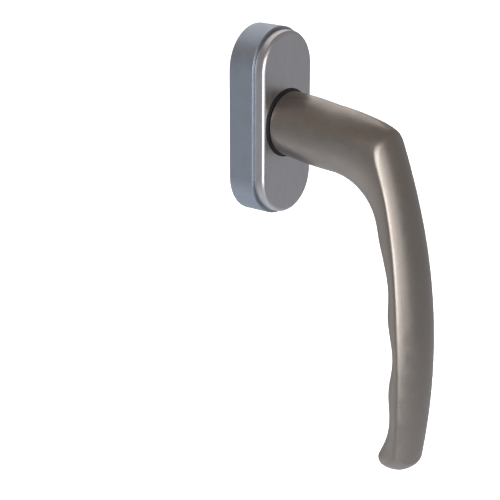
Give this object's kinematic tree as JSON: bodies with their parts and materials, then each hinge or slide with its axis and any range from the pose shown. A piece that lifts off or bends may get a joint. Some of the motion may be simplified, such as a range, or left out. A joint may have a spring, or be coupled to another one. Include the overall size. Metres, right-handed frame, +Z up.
{
  "type": "tilt and turn window handle",
  "caption": "Tilt and turn window handle: a curved lever on an obround rose with a lifting, swivelling screw cover.",
  "frame": {"origin": "on the spindle axis, in the plane of the rose's back face, which lies on the sash", "axes": "+Y from the back face into the sash, +Z up along the rose, +X right as seen from the room; the lever hangs down at rest"},
  "size_m": [0.029, 0.078, 0.1501],
  "materials": {
    "satin_lever": "satin brown-grey metallic",
    "satin_base": "satin blue-grey metallic",
    "brushed_cover": "finely brushed satin grey",
    "black_plastic": "moulded, matte",
    "grey_plastic": "moulded, matte",
    "black_rubber": "matte",
    "zinc_steel": "zinc plated",
    "spring_steel": "bright spring steel"
  },
  "bodies": {
    "rose": {"rose_base": "satin_base", "back_plate": "zinc_steel", "back_plate_screws": "zinc_steel", "screw_sleeves": "zinc_steel", "neck_bush": "black_plastic", "detent_spring_left": "spring_steel", "detent_spring_right": "spring_steel", "spring_pins": "spring_steel", "thrust_washer": "zinc_steel"},
    "handle": {"lever": "satin_lever", "drive_hub": "zinc_steel", "hub_pins": "spring_steel", "spindle_spring": "spring_steel", "detent_cam": "zinc_steel", "retaining_ring": "spring_steel", "wave_washer": "spring_steel", "friction_ring": "black_rubber"},
    "cover_slide": {"cover_clip_ring": "spring_steel"},
    "cover": {"cover_cap": "brushed_cover", "cover_carrier": "grey_plastic"}
  },
  "joints": [
    {"name": "lever_turn", "type": "hinge", "parent": "rose", "child": "handle", "pos_m": [0, 0, 0], "axis": [0, 1, 0], "range_deg": [0, 180], "deforming": ["detent_spring_left", "detent_spring_right"]},
    {"name": "cover_lift", "type": "slide", "parent": "rose", "child": "cover_slide", "axis": [0, -1, 0], "range_m": [0, 0.0024]},
    {"name": "cover_swivel", "type": "hinge", "parent": "cover_slide", "child": "cover", "pos_m": [0, 0, 0], "axis": [0, 1, 0], "range_deg": [-90, 90]}
  ]
}
